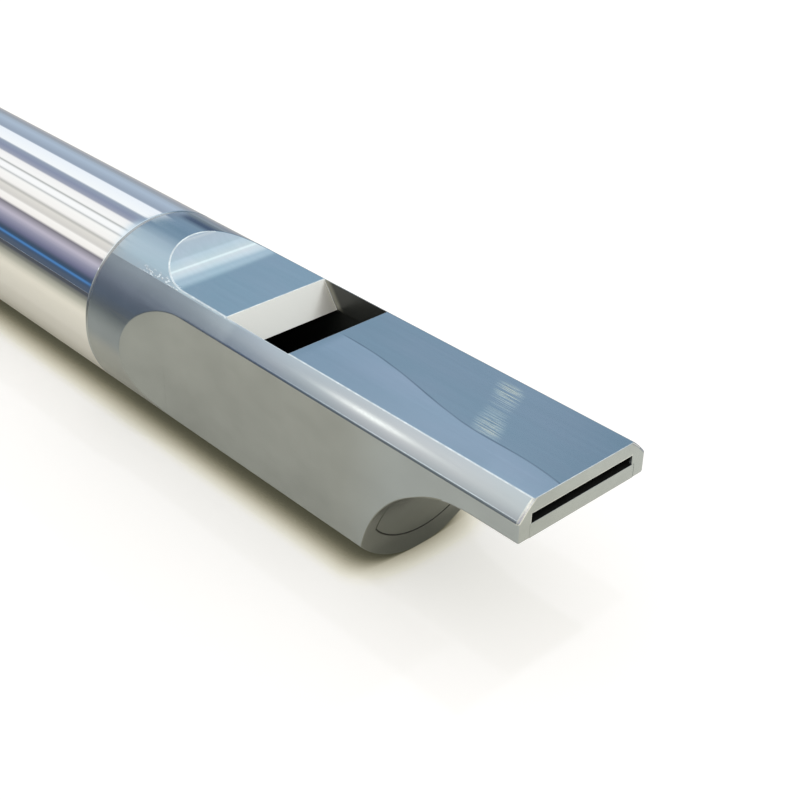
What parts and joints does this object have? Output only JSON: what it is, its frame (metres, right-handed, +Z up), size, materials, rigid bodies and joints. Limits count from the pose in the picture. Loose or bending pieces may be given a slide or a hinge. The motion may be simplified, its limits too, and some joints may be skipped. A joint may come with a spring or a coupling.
{
  "type": "low whistle",
  "caption": "Long end-blown metal whistle: a flat-sided head with beak, windway and window slides and turns on a plain tube with finger holes.",
  "frame": {"origin": "centre of the bore's mouth at the foot of the tube", "axes": "+X along the bore from the foot to the tip of the beak, +Z up through the finger holes and the window"},
  "size_m": [0.5824, 0.0254, 0.0254],
  "materials": {
    "tube_metal": "polished along the tube",
    "head_metal": "machined and satin polished",
    "plug_metal": "machined satin",
    "seal_rubber": "matte black"
  },
  "bodies": {
    "tube": {"body_tube": "tube_metal"},
    "seals": {"outer_seal_ring": "seal_rubber", "inner_seal_ring": "seal_rubber"},
    "head": {"whistle_head": "head_metal", "fipple_plug": "plug_metal"}
  },
  "joints": [
    {"name": "tuning_slide", "type": "slide", "parent": "tube", "child": "seals", "axis": [1, 0, 0], "range_m": [0, 0.012]},
    {"name": "head_turn", "type": "hinge", "parent": "seals", "child": "head", "pos_m": [0.4898, 0, 0], "axis": [1, 0, 0], "continuous": true}
  ]
}
